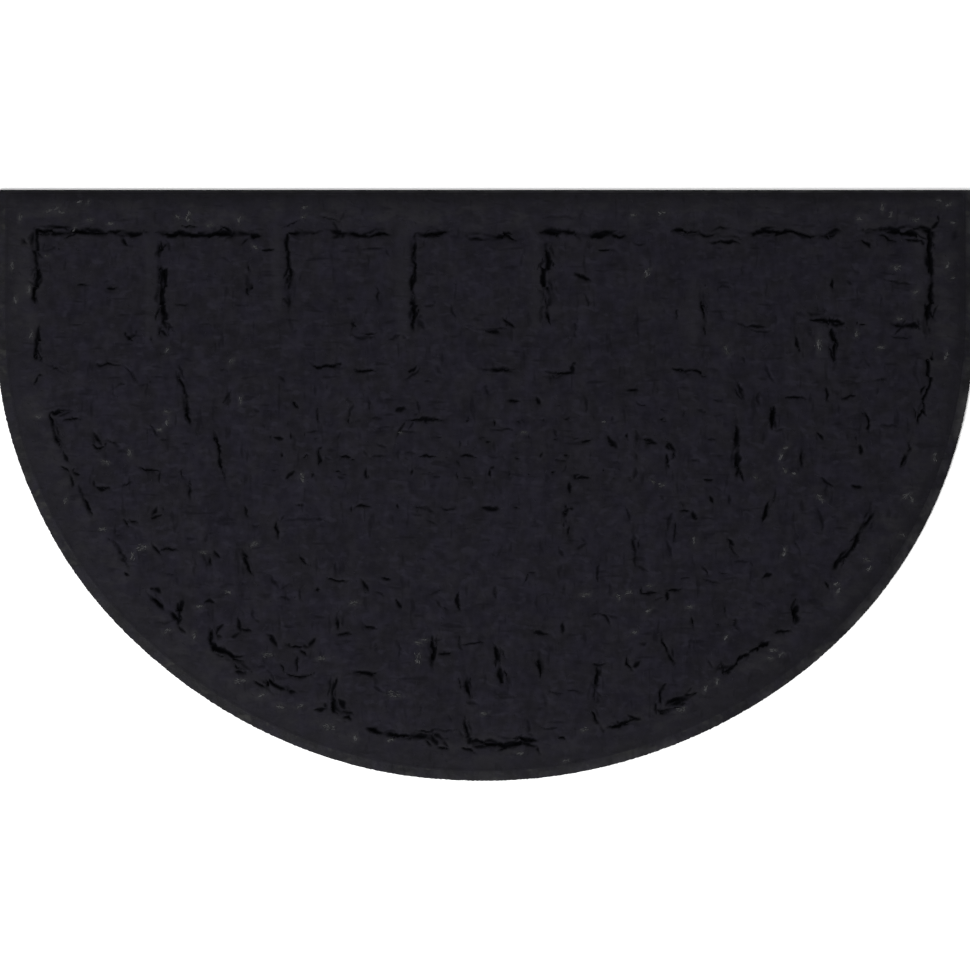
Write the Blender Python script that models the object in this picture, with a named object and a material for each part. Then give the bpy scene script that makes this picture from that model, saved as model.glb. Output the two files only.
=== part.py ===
"""A half round doormat: a black crumb rubber backing with a low sloping rim, and a needled
carpet face pressed into it, sunk with the joints and cracks of a stone pattern.

Metres, +Z up. The origin is under the middle of the mat, on the floor. The straight edge
lies at +Y and the round edge at -Y, so the width runs along X.
"""

import math
import random
from collections import namedtuple

import bmesh
import bpy
from mathutils import Matrix, Vector

MM = 0.001

# Driving dimensions of the whole mat
MAT_WIDTH = 762 * MM
MAT_DEPTH = 460 * MM
SIDE_LENGTH = 103 * MM
CORNER_RADIUS = 4 * MM
LEAST_CORNER_RADIUS = 1 * MM
FACE_TOP = 7.7 * MM
GAP = 0.3 * MM

# Rubber backing: its slab under the carpet, and the rim that slopes down to the outer edge
SLAB_THICKNESS = 2.2 * MM
RIM_WIDTH_ARC = 9.5 * MM
RIM_WIDTH_STRAIGHT = 4.0 * MM
RIM_EDGE_HEIGHT = 1.9 * MM
RIM_ROUND_WIDTH = 1.3 * MM
RIM_ROUND_HEIGHT = 3.1 * MM
RIM_CREST_HEIGHT = 5.3 * MM

# Carpet face: how far in from its own edge each step of its rounded shoulder lies, and how high
Shoulder = namedtuple("Shoulder", "inset height")
FACE_SHOULDER = (
    Shoulder(0.0 * MM, 5.2 * MM),
    Shoulder(1.5 * MM, 5.9 * MM),
    Shoulder(4.0 * MM, 6.8 * MM),
    Shoulder(8.0 * MM, 7.4 * MM),
    Shoulder(13.0 * MM, FACE_TOP),
)

# Points along the outline
ARC_STEPS = 88
SIDE_STEPS = 6
CORNER_STEPS = 3
STRAIGHT_STEPS = 24

# Unevenness of the cut round edge: how far it stands out at an angle round the half ellipse,
# measured from the right-hand side through the front to the left-hand side
Wander = namedtuple("Wander", "degrees outward")
EDGE_WANDER = (
    Wander(0, 0.0 * MM),
    Wander(8, -0.4 * MM),
    Wander(35, 0.6 * MM),
    Wander(68, -0.4 * MM),
    Wander(90, 0.0 * MM),
    Wander(104, 0.9 * MM),
    Wander(132, -0.3 * MM),
    Wander(147, 0.4 * MM),
    Wander(158, 0.0 * MM),
    Wander(170, 0.6 * MM),
    Wander(180, 0.0 * MM),
)

# Row of stones along the straight edge. Each joint starts at start and runs to the right, and
# the cross joint at the stone's side drops at drop_x from drop_top to drop_foot. Where the two
# nearly meet they are one bent joint. In mm.
ROW_JOINT_Y = 197
ROW_JOINT_FALL = 2
ROW_JOINTS_MEET = 6
RowJoint = namedtuple("RowJoint", "start run drop_x drop_top drop_foot width")
ROW_JOINTS = (
    RowJoint(-353, 91, -349, 197, 141, 5.8),
    RowJoint(-253, 80, -251, 192, 117, 6.4),
    RowJoint(-151, 80, -153, 197, 134, 5.4),
    RowJoint(-54, 76, -55, 197, 116, 5.6),
    RowJoint(40, 70, 48, 190, 125, 6.2),
    RowJoint(144, 58, 170, 158, 115, 4.6),
    RowJoint(202, 79, 270, 122, 90, 5.6),
    RowJoint(291, 54, 345, 197, 115, 6.4),
)

# Joints of the stones along the round edge. Each runs along an ellipse that is share of the
# mat's own, from corner to end in degrees as above. Its cross joint leaves the corner at heading
# degrees from +X for cross mm.
RimJoint = namedtuple("RimJoint", "corner end share cross heading width")
RIM_JOINTS = (
    RimJoint(15.0, 4.0, 0.912, 0, 90, 4.8),
    RimJoint(21.0, 16.8, 0.900, 0, 90, 5.4),
    RimJoint(38.0, 26.5, 0.893, 0, 90, 5.6),
    RimJoint(57.5, 49.8, 0.899, 8, 100, 6.2),
    RimJoint(67.4, 61.5, 0.914, 23, 72, 6.2),
    RimJoint(75.0, 70.2, 0.919, 18, 118, 6.0),
    RimJoint(92.1, 83.3, 0.918, 24, 98, 6.4),
    RimJoint(105.4, 94.7, 0.914, 0, 90, 6.4),
    RimJoint(109.8, 107.2, 0.903, 26, 96, 5.8),
    RimJoint(120.3, 115.9, 0.900, 0, 90, 5.8),
    RimJoint(128.6, 122.0, 0.895, 14, 90, 6.0),
    RimJoint(134.0, 139.7, 0.903, 20, 78, 5.8),
    RimJoint(148.5, 143.9, 0.898, 0, 90, 5.2),
    RimJoint(157.6, 152.0, 0.910, 0, 90, 5.0),
    RimJoint(167.4, 161.9, 0.908, 20, 12, 5.2),
    RimJoint(179.5, 174.5, 0.914, 0, 90, 5.4),
)

# Shorter cracks: the middle of each from the middle of the mat, its length, the way it runs in
# degrees from +X, and its width. In mm.
Crack = namedtuple("Crack", "x y length heading width")
ROW_CRACKS = (
    Crack(-312, 156, 14, -4, 3.4),
    Crack(-290, 153, 15, 6, 3.8),
    Crack(-183, 160, 30, -88, 3.2),
    Crack(-101, 127, 13, -55, 3.6),
    Crack(-90, 120, 17, -3, 4.0),
    Crack(-82, 146, 22, -84, 3.0),
    Crack(71, 124, 16, -90, 4.6),
    Crack(185, 189, 29, -3, 4.0),
    Crack(267, 126, 30, -6, 5.0),
    Crack(328, 124, 29, -4, 5.2),
    Crack(-334, 92, 26, -18, 3.4),
    Crack(-292, 94, 25, -7, 3.2),
    Crack(-110, 91, 55, -4, 4.0),
    Crack(14, 91, 27, -7, 3.8),
    Crack(57, 88, 31, 3, 4.4),
    Crack(158, 88, 32, -8, 4.4),
)
PANEL_CRACKS = (
    Crack(-233, 68, 42, -76, 5.0),
    Crack(-207, 24, 45, -77, 4.6),
    Crack(-185, -59, 27, -66, 5.0),
    Crack(-161, -34, 20, -88, 4.4),
    Crack(197, 74, 22, -64, 4.2),
    Crack(196, 29, 55, -88, 5.8),
    Crack(223, 52, 20, -90, 6.4),
    Crack(116, -43, 42, -83, 4.2),
    Crack(66, -31, 24, -84, 3.6),
)
RING_CRACKS = (
    Crack(245, 23, 24, -92, 5.0),
    Crack(218, -21, 19, -115, 6.2),
    Crack(296, 50, 25, -80, 3.6),
    Crack(243, -46, 18, -75, 3.8),
    Crack(240, -97, 21, -98, 6.2),
    Crack(185, -95, 15, -90, 4.2),
    Crack(161, -107, 15, -87, 4.6),
    Crack(142, -131, 26, -67, 5.0),
    Crack(111, -138, 13, -70, 5.6),
    Crack(87, -153, 37, -90, 5.4),
    Crack(43, -139, 22, -90, 5.8),
    Crack(12, -140, 35, -74, 5.4),
    Crack(-12, -157, 22, -77, 5.2),
    Crack(-40, -127, 27, -87, 6.4),
    Crack(-94, -145, 24, -2, 4.6),
    Crack(-114, -104, 20, -83, 4.4),
    Crack(-215, -62, 18, -98, 5.0),
    Crack(-230, -4, 17, -88, 6.0),
    Crack(-259, -20, 14, 60, 5.6),
    Crack(-285, 31, 20, -29, 5.0),
    Crack(-302, 37, 20, -70, 4.2),
)

# Small setts in the middle panel: short nicks in rows, of which some have worn away
SETT_ROWS_Y = (51, 37, 22, 9, -17)
SETT_START_X = -178
SETT_END_X = 165
SETT_PITCH = 18.5
SETT_SHARE_LEFT = 0.62
SETT_LENGTH = (5.0, 9.0)
SETT_WIDTH = 2.8
SETT_WANDER = 1.6

# Shape of a groove: how unevenly it runs and widens, how its depth follows its width, and how
# far its widest section stands above the carpet so that the cut is clean
GROOVE_STEP = 7.0
GROOVE_WOBBLE = 1.4
GROOVE_PINCH = 0.38
GROOVE_TIP_SHARE = 0.20
GROOVE_DEPTH_PER_HALF_WIDTH = 1.15
GROOVE_LIFT = 0.15 * MM
SEED = 18

# Short splits that fork off the longer joints: one for each stretch of the joint this long
SPUR_EVERY = 34.0
SPUR_LENGTH = (7.0, 15.0)
SPUR_TURN = (18.0, 48.0)
SPUR_WIDTH_SHARE = 0.62

RUBBER_COLOR = (0.0165, 0.0165, 0.0170, 1.0)
RUBBER_ROUGHNESS = 0.85
CARPET_COLOR = (0.0130, 0.0124, 0.0168, 1.0)
CARPET_ROUGHNESS = 0.95


def clear_scene():
    for obj in list(bpy.data.objects):
        bpy.data.objects.remove(obj, do_unlink=True)


def new_collection(name):
    collection = bpy.data.collections.new(name)
    bpy.context.scene.collection.children.link(collection)
    return collection


def plain_material(name, color, roughness):
    material = bpy.data.materials.new(name)
    material.use_nodes = True
    shader = material.node_tree.nodes["Principled BSDF"]
    shader.inputs["Base Color"].default_value = color
    shader.inputs["Roughness"].default_value = roughness
    shader.inputs["Metallic"].default_value = 0.0
    return material


def edge_wander(degrees):
    """How far the cut edge stands out at this angle, eased between the table's rows."""
    for low, high in zip(EDGE_WANDER, EDGE_WANDER[1:]):
        if low.degrees <= degrees <= high.degrees:
            share = (degrees - low.degrees) / (high.degrees - low.degrees)
            eased = (1 - math.cos(math.pi * share)) / 2
            return low.outward + eased * (high.outward - low.outward)
    return 0.0


def on_round_edge(degrees, share=1.0, inset=0.0, outward=0.0):
    """A point of the round edge, or of a smaller ellipse inside it."""
    turn = math.radians(degrees)
    across = MAT_WIDTH / 2 * share - inset + outward
    along = (MAT_DEPTH - SIDE_LENGTH) * share - inset + outward
    middle_y = MAT_DEPTH / 2 - SIDE_LENGTH
    return Vector((across * math.cos(turn), middle_y - along * math.sin(turn), 0))


def outline(inset_arc, inset_straight):
    """The mat's outline, drawn in by one width along the round edge and one along the straight."""
    half_width = MAT_WIDTH / 2 - inset_arc
    top = MAT_DEPTH / 2 - inset_straight
    middle_y = MAT_DEPTH / 2 - SIDE_LENGTH
    radius = max(CORNER_RADIUS - inset_straight, LEAST_CORNER_RADIUS)
    points = []
    for step in range(ARC_STEPS + 1):
        degrees = 180 * (1 - step / ARC_STEPS)
        points.append(on_round_edge(degrees, inset=inset_arc, outward=edge_wander(degrees)))
    for step in range(1, SIDE_STEPS):
        share = step / SIDE_STEPS
        points.append(Vector((half_width, middle_y + share * (top - radius - middle_y), 0)))
    for side in (1, -1):
        corner = Vector((side * (half_width - radius), top - radius, 0))
        for step in range(CORNER_STEPS + 1):
            turn = math.radians(90 * step / CORNER_STEPS)
            if side < 0:
                turn = math.radians(90) - turn
            points.append(corner + radius * Vector((side * math.cos(turn), math.sin(turn), 0)))
        if side > 0:
            span = 2 * (half_width - radius)
            for step in range(1, STRAIGHT_STEPS):
                x = half_width - radius - span * step / STRAIGHT_STEPS
                points.append(Vector((x, top, 0)))
    for step in range(1, SIDE_STEPS):
        share = 1 - step / SIDE_STEPS
        points.append(Vector((-half_width, middle_y + share * (top - radius - middle_y), 0)))
    return points


def stacked_solid(name, rings, collection, material):
    """One closed solid through a stack of outlines, each a list of points and its height."""
    mesh = bpy.data.meshes.new(name)
    bm = bmesh.new()
    loops = [[bm.verts.new((p.x, p.y, height)) for p in points] for points, height in rings]
    for lower, upper in zip(loops, loops[1:]):
        for index in range(len(lower)):
            after = (index + 1) % len(lower)
            bm.faces.new((lower[index], lower[after], upper[after], upper[index]))
    bm.faces.new(list(reversed(loops[0])))
    bm.faces.new(loops[-1])
    bmesh.ops.recalc_face_normals(bm, faces=bm.faces)
    bm.to_mesh(mesh)
    bm.free()
    obj = bpy.data.objects.new(name, mesh)
    obj.data.materials.append(material)
    collection.objects.link(obj)
    return obj


def rubber_backing(collection):
    """The slab with its rim: up the outer edge, over the slope, and down to the carpet's bed."""
    crest = outline(RIM_WIDTH_ARC, RIM_WIDTH_STRAIGHT)
    rings = (
        (outline(0, 0), 0.0),
        (outline(0, 0), RIM_EDGE_HEIGHT),
        (outline(RIM_ROUND_WIDTH, RIM_ROUND_WIDTH), RIM_ROUND_HEIGHT),
        (crest, RIM_CREST_HEIGHT),
        (crest, SLAB_THICKNESS),
    )
    material = plain_material("crumb_rubber", RUBBER_COLOR, RUBBER_ROUGHNESS)
    return stacked_solid("rubber_backing", rings, collection, material)


def carpet_face(collection):
    """The carpet, a gap in from the rim and above the slab, with its edge rounded over."""
    inset_arc = RIM_WIDTH_ARC + GAP
    inset_straight = RIM_WIDTH_STRAIGHT + GAP
    rings = [(outline(inset_arc, inset_straight), SLAB_THICKNESS + GAP)]
    for step in FACE_SHOULDER:
        rings.append((outline(inset_arc + step.inset, inset_straight + step.inset), step.height))
    material = plain_material("needled_carpet", CARPET_COLOR, CARPET_ROUGHNESS)
    return stacked_solid("carpet_face", rings, collection, material)


def along_heading(degrees, length):
    """A step of this length on the plan, the way that many degrees from +X."""
    turn = math.radians(degrees)
    return Vector((math.cos(turn), math.sin(turn), 0)) * length


def routed(corners, width, dice):
    """Points and half widths along a jagged joint through these corners, in mm."""
    points = []
    for start, end in zip(corners, corners[1:]):
        run = end - start
        steps = max(2, round(run.length / GROOVE_STEP))
        side = Vector((-run.y, run.x, 0)).normalized()
        for step in range(steps):
            off = dice.uniform(-1, 1) * GROOVE_WOBBLE if step else 0.0
            points.append(start + run * (step / steps) + side * off)
    points.append(corners[-1])
    halves = [width / 2 * (1 - GROOVE_PINCH * dice.random()) for _ in points]
    halves[0] = halves[-1] = width / 2 * GROOVE_TIP_SHARE
    return list(zip(points, halves))


def row_routes(dice):
    """The joints of the straight row, each bent down into its cross joint where they meet."""
    routes = []
    for joint in ROW_JOINTS:
        along = [Vector((joint.start, ROW_JOINT_Y, 0))]
        along.append(Vector((joint.start + joint.run, ROW_JOINT_Y - ROW_JOINT_FALL, 0)))
        drop = [Vector((joint.drop_x, joint.drop_top, 0))]
        drop.append(Vector((joint.drop_x, joint.drop_foot, 0)))
        at_start = joint.drop_top == ROW_JOINT_Y and abs(joint.drop_x - joint.start) < ROW_JOINTS_MEET
        at_end = joint.drop_x == joint.start + joint.run
        if at_start:
            routes.append(routed([along[1], drop[0], drop[1]], joint.width, dice))
        elif at_end:
            routes.append(routed([along[0], drop[0], drop[1]], joint.width, dice))
        else:
            routes.append(routed(along, joint.width, dice))
            routes.append(routed(drop, joint.width, dice))
    return routes


def rim_routes(dice):
    """The joints along the round edge, each with its cross joint running in from the corner."""
    routes = []
    for joint in RIM_JOINTS:
        half_way = (joint.end + joint.corner) / 2
        corners = [on_round_edge(angle, joint.share) / MM for angle in (joint.end, half_way)]
        corner = on_round_edge(joint.corner, joint.share) / MM
        corners.append(corner)
        if joint.cross:
            corners.append(corner + along_heading(joint.heading, joint.cross))
        routes.append(routed(corners, joint.width, dice))
    return routes


def crack_routes(cracks, dice):
    routes = []
    for crack in cracks:
        half = along_heading(crack.heading, crack.length / 2)
        middle = Vector((crack.x, crack.y, 0))
        routes.append(routed([middle - half, middle + half], crack.width, dice))
    return routes


def spur_routes(routes, dice):
    """Short tapering splits that leave the longer joints at a slant, now on one side, now the other."""
    spurs = []
    for route in routes:
        points = [point for point, half_width in route]
        length = sum((b - a).length for a, b in zip(points, points[1:]))
        for _ in range(int(length / SPUR_EVERY)):
            index = dice.randrange(1, len(points) - 1)
            way = points[index + 1] - points[index]
            heading = math.degrees(math.atan2(way.y, way.x)) + 180 * dice.randrange(2)
            heading += dice.uniform(*SPUR_TURN) * dice.choice((-1, 1))
            end = points[index] + along_heading(heading, dice.uniform(*SPUR_LENGTH))
            width = 2 * route[index][1] * SPUR_WIDTH_SHARE
            tip = width / 2 * GROOVE_TIP_SHARE
            middle = points[index].lerp(end, 0.5)
            spurs.append([(points[index], width / 2), (middle, width / 2), (end, tip)])
    return spurs


def sett_routes(dice):
    """Short nicks between the small setts, by turns across and along, some of them missing."""
    routes = []
    columns = int((SETT_END_X - SETT_START_X) / SETT_PITCH)
    for row, y in enumerate(SETT_ROWS_Y):
        for column in range(columns + 1):
            x = SETT_START_X + SETT_PITCH * (column + 0.5 * (row % 2))
            shift = Vector((dice.uniform(-1, 1), dice.uniform(-1, 1), 0)) * SETT_WANDER
            half = dice.uniform(*SETT_LENGTH) / 2
            across = dice.random() < 0.5
            if dice.random() > SETT_SHARE_LEFT:
                continue
            way = Vector((half, 0, 0)) if across else Vector((0, half, 0))
            middle = Vector((x, y, 0)) + shift
            tip = SETT_WIDTH / 2 * GROOVE_TIP_SHARE
            routes.append(
                [(middle - way, tip), (middle, SETT_WIDTH / 2), (middle + way, tip)]
            )
    return routes


def groove_cutter(name, route, collection):
    """A four-sided tapering tube along a route, deepened, with its widest part at the surface."""
    curve = bpy.data.curves.new(name, "CURVE")
    curve.dimensions = "3D"
    curve.twist_mode = "Z_UP"
    curve.fill_mode = "FULL"
    curve.bevel_depth = 1.0
    curve.bevel_resolution = 0
    curve.use_fill_caps = True
    spline = curve.splines.new("POLY")
    spline.points.add(len(route) - 1)
    for target, (point, half_width) in zip(spline.points, route):
        target.co = (*(point * MM), 1)
        target.radius = half_width * MM
    guide = bpy.data.objects.new(name, curve)
    collection.objects.link(guide)
    bpy.context.view_layer.update()
    graph = bpy.context.evaluated_depsgraph_get()
    mesh = bpy.data.meshes.new_from_object(guide.evaluated_get(graph))
    bpy.data.objects.remove(guide, do_unlink=True)
    bm = bmesh.new()
    bm.from_mesh(mesh)
    bmesh.ops.remove_doubles(bm, verts=bm.verts, dist=1e-6)
    bmesh.ops.recalc_face_normals(bm, faces=bm.faces)
    bm.to_mesh(mesh)
    bm.free()
    deepen = Matrix.Diagonal((1, 1, GROOVE_DEPTH_PER_HALF_WIDTH, 1))
    lift = Matrix.Translation((0, 0, FACE_TOP + GROOVE_LIFT))
    mesh.transform(lift @ deepen)
    cutter = bpy.data.objects.new(name, mesh)
    cutter.hide_render = True
    cutter.display_type = "WIRE"
    collection.objects.link(cutter)
    return cutter


def cut_grooves(face, cutters):
    dice = random.Random(SEED)
    routes = row_routes(dice) + rim_routes(dice)
    routes += spur_routes(routes, dice)
    routes += crack_routes(ROW_CRACKS + PANEL_CRACKS + RING_CRACKS, dice)
    routes += sett_routes(dice)
    for number, route in enumerate(routes, start=1):
        groove_cutter(f"groove_{number:03d}", route, cutters)
    cut = face.modifiers.new("sunk_joints", "BOOLEAN")
    cut.operation = "DIFFERENCE"
    cut.solver = "EXACT"
    cut.operand_type = "COLLECTION"
    cut.collection = cutters
    cut.use_self = True


clear_scene()
doormat = new_collection("half_round_doormat")
groove_cutters = new_collection("groove_cutters")
groove_cutters.hide_render = True
rubber_backing(doormat)
cut_grooves(carpet_face(doormat), groove_cutters)
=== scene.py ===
import math
import random
from collections import namedtuple

import bpy
import numpy as np
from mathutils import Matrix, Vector, noise
from mathutils.bvhtree import BVHTree
from mathutils.kdtree import KDTree


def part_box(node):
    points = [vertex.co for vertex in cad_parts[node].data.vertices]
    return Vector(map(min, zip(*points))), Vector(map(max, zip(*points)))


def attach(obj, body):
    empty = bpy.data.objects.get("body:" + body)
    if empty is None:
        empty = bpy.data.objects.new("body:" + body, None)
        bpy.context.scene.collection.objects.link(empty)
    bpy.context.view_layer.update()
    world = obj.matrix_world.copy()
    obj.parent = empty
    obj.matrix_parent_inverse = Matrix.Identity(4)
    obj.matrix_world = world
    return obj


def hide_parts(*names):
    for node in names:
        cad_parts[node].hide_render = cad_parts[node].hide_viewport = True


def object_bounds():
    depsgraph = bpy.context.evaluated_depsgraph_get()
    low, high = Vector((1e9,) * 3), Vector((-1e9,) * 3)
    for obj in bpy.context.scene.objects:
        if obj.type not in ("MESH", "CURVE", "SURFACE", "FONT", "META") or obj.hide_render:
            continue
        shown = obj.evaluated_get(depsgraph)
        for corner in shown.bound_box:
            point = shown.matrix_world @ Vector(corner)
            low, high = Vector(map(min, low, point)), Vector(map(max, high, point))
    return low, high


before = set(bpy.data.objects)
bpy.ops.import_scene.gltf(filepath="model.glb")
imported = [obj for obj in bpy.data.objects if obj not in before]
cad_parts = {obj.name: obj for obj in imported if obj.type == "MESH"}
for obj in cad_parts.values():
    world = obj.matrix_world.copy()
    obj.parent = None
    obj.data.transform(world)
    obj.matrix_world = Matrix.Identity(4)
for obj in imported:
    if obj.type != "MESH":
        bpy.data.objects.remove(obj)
solid_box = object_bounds()


# Rubber backing
# A slab of black rubber crumb pressed in a heated mould, with a low rim that slopes down to the
# trimmed outer edge. The crumb shows as a grain on the rim, and the underside is left flat.
MM = 0.001
MERGE_GAP = 0.001 * MM
LEVEL_GAP = 0.05 * MM
BED_HEIGHT = 2.2 * MM
RIM_FOOT = 0.4 * MM
RIM_ROUND_TOP = 2.6 * MM
RIM_CREST = 5.3 * MM
CREST_FALL = 0.8 * MM
STRAIGHT_STRIP = 6 * MM
STRAIGHT_SHARE = 0.25
RUBBER_SMOOTH = math.radians(40)
RUBBER_SPECULAR = 0.06


def go_to(mode):
    """Goes to edit mode or back to object mode."""
    bpy.ops.object.mode_set(mode=mode)


def choose(obj, kind, wanted):
    """Selects in edit mode only the vertices, edges or faces that a list of True and False picks."""
    go_to("EDIT")
    bpy.ops.mesh.select_mode(type=kind)
    bpy.ops.mesh.select_all(action="DESELECT")
    go_to("OBJECT")
    items = {"VERT": obj.data.vertices, "EDGE": obj.data.edges, "FACE": obj.data.polygons}[kind]
    items.foreach_set("select", np.asarray(wanted, bool))
    go_to("EDIT")


def rows_of(items, field, width=3, kind=float):
    """One field of a mesh's points, edges or faces, a row for each."""
    found = np.zeros(len(items) * width, kind)
    items.foreach_get(field, found)
    return found.reshape(-1, width)


def places(obj):
    """The mesh's points as rows of x, y and z."""
    return rows_of(obj.data.vertices, "co")


def edge_ends(obj):
    """The two end points of every edge, as two arrays of rows."""
    ends = places(obj)[rows_of(obj.data.edges, "vertices", 2, int)]
    return ends[:, 0], ends[:, 1]


def alone(obj):
    """Makes obj the one active and selected object."""
    bpy.ops.object.select_all(action="DESELECT")
    bpy.context.view_layer.objects.active = obj
    obj.select_set(True)


def new_object(name, data):
    """An object with this mesh, lamp or camera in it, put in the scene."""
    obj = bpy.data.objects.new(name, data)
    bpy.context.scene.collection.objects.link(obj)
    return obj


rubber = new_object("rubber_base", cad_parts["rubber_backing"].data.copy())
rubber.data.materials.clear()
alone(rubber)
go_to("EDIT")
bpy.ops.mesh.select_all(action="SELECT")
bpy.ops.mesh.remove_doubles(threshold=MERGE_GAP)
bpy.ops.mesh.tris_convert_to_quads()
go_to("OBJECT")


def rim_edges(obj, lengthwise, longer, shorter):
    """Edges of the rim that run along it or across it, within a range of lengths."""
    one, two = edge_ends(obj)
    length = np.linalg.norm(two - one, axis=1)
    off_bed = np.abs(np.stack((one[:, 2], two[:, 2])) - BED_HEIGHT)
    level = np.abs(two[:, 2] - one[:, 2]) < LEVEL_GAP
    if lengthwise:
        kind = level & (off_bed.max(axis=0) >= LEVEL_GAP)
    else:
        kind = ~level & (off_bed.min(axis=0) >= LEVEL_GAP)
    return kind & (length > longer) & (length < shorter)


def split(obj, wanted, cuts):
    """Cuts the wanted edges into equal parts, and the faces between them with them."""
    choose(obj, "EDGE", wanted)
    bpy.ops.mesh.subdivide(number_cuts=cuts)
    go_to("OBJECT")


# The rim's long edges are cut up, first those that run along it, then those that run down it.
Split = namedtuple("Split", "lengthwise longer shorter cuts")
RIM_SPLITS = (
    Split(True, 20 * MM, 40 * MM, 1),
    Split(True, 8 * MM, 20 * MM, 15),
    Split(True, 1.4 * MM, 4 * MM, 2),
    Split(False, 5.5 * MM, 1000 * MM, 9),
    Split(False, 2.4 * MM, 5.5 * MM, 4),
    Split(False, 1.6 * MM, 2.4 * MM, 2),
)
for rim_split in RIM_SPLITS:
    wanted = rim_edges(rubber, rim_split.lengthwise, rim_split.longer, rim_split.shorter)
    split(rubber, wanted, rim_split.cuts)

# The crumb stands out of the moulded skin, and most where the outline was trimmed on the arc.
Relief = namedtuple("Relief", "name group size height")
RIM_RELIEF = (
    Relief("uneven_slope", "slope", 7 * MM, 0.90 * MM),
    Relief("rubber_crumb", "slope", 1.5 * MM, 0.25 * MM),
    Relief("trimmed_crumb", "trim", 1.7 * MM, 1.00 * MM),
)
rim_points = places(rubber)
on_rim = (rim_points[:, 2] > RIM_FOOT) & (np.abs(rim_points[:, 2] - BED_HEIGHT) > LEVEL_GAP)
on_round = on_rim & (rim_points[:, 2] < RIM_ROUND_TOP)
at_straight = rim_points[:, 1] > solid_box[1][1] - STRAIGHT_STRIP
to_crest = np.clip((RIM_CREST - rim_points[:, 2]) / CREST_FALL, 0, 1)
for group_name, picked in (("slope", on_rim & ~on_round), ("trim", on_round)):
    relief_group = rubber.vertex_groups.new(name=group_name)
    for number in np.flatnonzero(picked):
        share = STRAIGHT_SHARE if at_straight[number] else 1.0
        relief_group.add([int(number)], share * to_crest[number], "REPLACE")
for relief in RIM_RELIEF:
    lumps = bpy.data.textures.new(relief.name, "CLOUDS")
    lumps.noise_scale = relief.size
    lumps.noise_depth = 1
    displace = rubber.modifiers.new(relief.name, "DISPLACE")
    displace.texture = lumps
    displace.texture_coords = "LOCAL"
    displace.strength = relief.height
    displace.mid_level = 0.5
    displace.vertex_group = relief.group
    bpy.ops.object.modifier_apply(modifier=relief.name)
bpy.ops.object.shade_smooth_by_angle(angle=RUBBER_SMOOTH)


def give_own(obj, name, values):
    """Writes an attribute of this name on the piece, one value for each of its points."""
    attribute = obj.data.attributes.new(name, "FLOAT", "POINT")
    attribute.data.foreach_set("value", values.astype(np.float32))


# Pale dust and a painted highlight on the rim, growing towards its outer edge, and stronger on the right,
# where the lamps light it less: 0 is none.
DUST_AND_HIGHLIGHT_FALL = 2.6 * MM
DUST_AND_HIGHLIGHT_LEAST = 0.1
DUST_AND_HIGHLIGHT_MIDDLE = 0.35
DUST_AND_HIGHLIGHT_WIDTH = 450 * MM
dust = np.clip((RIM_CREST - rim_points[:, 2]) / DUST_AND_HIGHLIGHT_FALL, 0, 1)
dust *= np.clip(DUST_AND_HIGHLIGHT_MIDDLE + rim_points[:, 0] / DUST_AND_HIGHLIGHT_WIDTH, DUST_AND_HIGHLIGHT_LEAST, 1.0)
give_own(rubber, "dust", dust)


def feed(tree, node, inputs):
    """Gives each named input of a node its value, or links the output of another node into it."""
    for socket, value in dict(inputs).items():
        if isinstance(value, bpy.types.NodeSocket):
            tree.links.new(value, node.inputs[socket])
        else:
            node.inputs[socket].default_value = value


def add_node(tree, kind, inputs=(), **settings):
    """One node with its settings and its inputs."""
    node = tree.nodes.new(kind)
    for name, value in settings.items():
        setattr(node, name, value)
    feed(tree, node, inputs)
    return node


def noise_at(tree, where, scale, detail=3.0, rough=0.55, stretch=None):
    """Noise of scale features a metre, read at where, its pattern squeezed by stretch."""
    if stretch:
        squeezed = {"Vector": where, "Scale": stretch}
        where = add_node(tree, "ShaderNodeMapping", squeezed).outputs["Vector"]
    inputs = {"Vector": where, "Scale": scale, "Detail": detail, "Roughness": rough}
    return add_node(tree, "ShaderNodeTexNoise", inputs).outputs["Fac"]


def ranged(tree, value, low, high, to_low, to_high):
    """Value moved from one range to another, and held inside it."""
    inputs = {"Value": value, "From Min": low, "From Max": high, "To Min": to_low, "To Max": to_high}
    settings = {"interpolation_type": "SMOOTHSTEP"}
    return add_node(tree, "ShaderNodeMapRange", inputs, **settings).outputs["Result"]


def math_node(tree, operation, one, two):
    """One sum or product of two values, each a number or the output of a node."""
    return add_node(tree, "ShaderNodeMath", {0: one, 1: two}, operation=operation).outputs[0]


def mixed(tree, share, one, two, blend="MIX"):
    """A mix of two colours, each a colour value or the output of a node."""
    settings = {"data_type": "RGBA", "blend_type": blend}
    return add_node(tree, "ShaderNodeMix", {0: share, 6: one, 7: two}, **settings).outputs[2]


# The group felt_face: short fibres fused over rubber, from grey to blue violet in patches, with
# soft smudges, pale flecks and short dark scratches both ways. The carpet and the rim show it.
face = bpy.data.node_groups.new("felt_face", "ShaderNodeTree")
for label, way, kind in (
    ("Vector", "INPUT", "Vector"),
    ("Grey", "INPUT", "Color"),
    ("Violet", "INPUT", "Color"),
    ("Pale", "INPUT", "Color"),
    ("Dark", "INPUT", "Color"),
    ("Flecks", "INPUT", "Float"),
    ("Color", "OUTPUT", "Color"),
    ("Height", "OUTPUT", "Float"),
):
    face.interface.new_socket(label, in_out=way, socket_type="NodeSocket" + kind)
face_in = face.nodes.new("NodeGroupInput")
where = face_in.outputs["Vector"]
hue = ranged(face, noise_at(face, where, 65.0, 2.0), 0.34, 0.66, 0.0, 1.0)
tint = mixed(face, hue, face_in.outputs["Grey"], face_in.outputs["Violet"])
patch = ranged(face, noise_at(face, where, 80.0, 1.5), 0.3, 0.7, 0.85, 1.15)
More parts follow.
